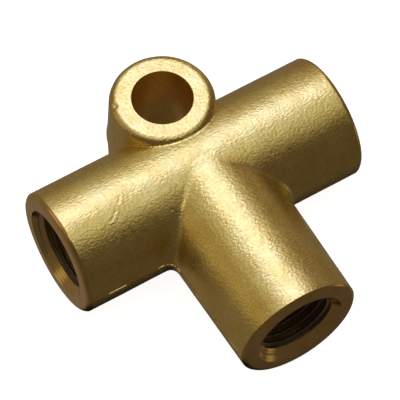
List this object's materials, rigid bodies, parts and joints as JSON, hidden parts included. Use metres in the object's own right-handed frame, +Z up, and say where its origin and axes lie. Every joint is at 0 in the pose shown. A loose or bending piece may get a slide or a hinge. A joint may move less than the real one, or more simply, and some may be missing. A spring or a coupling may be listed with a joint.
{
  "type": "three-way pipe union",
  "caption": "Forged brass T union for small-bore hydraulic pipe: two ports in line, one square to them, and a fixing eye behind the run.",
  "frame": {"origin": "on the fixing eye's axis, at the forging's parting plane, midway between the eye's two faces", "axes": "+Z up the eye, +X along the run towards the right port, -Y along the branch towards its port"},
  "size_m": [0.0369, 0.0366, 0.0156],
  "materials": {
    "brass": "shot-blasted forging, satin, with bright machined ports"
  },
  "bodies": {
    "root": {"union_body": "brass"}
  },
  "joints": []
}
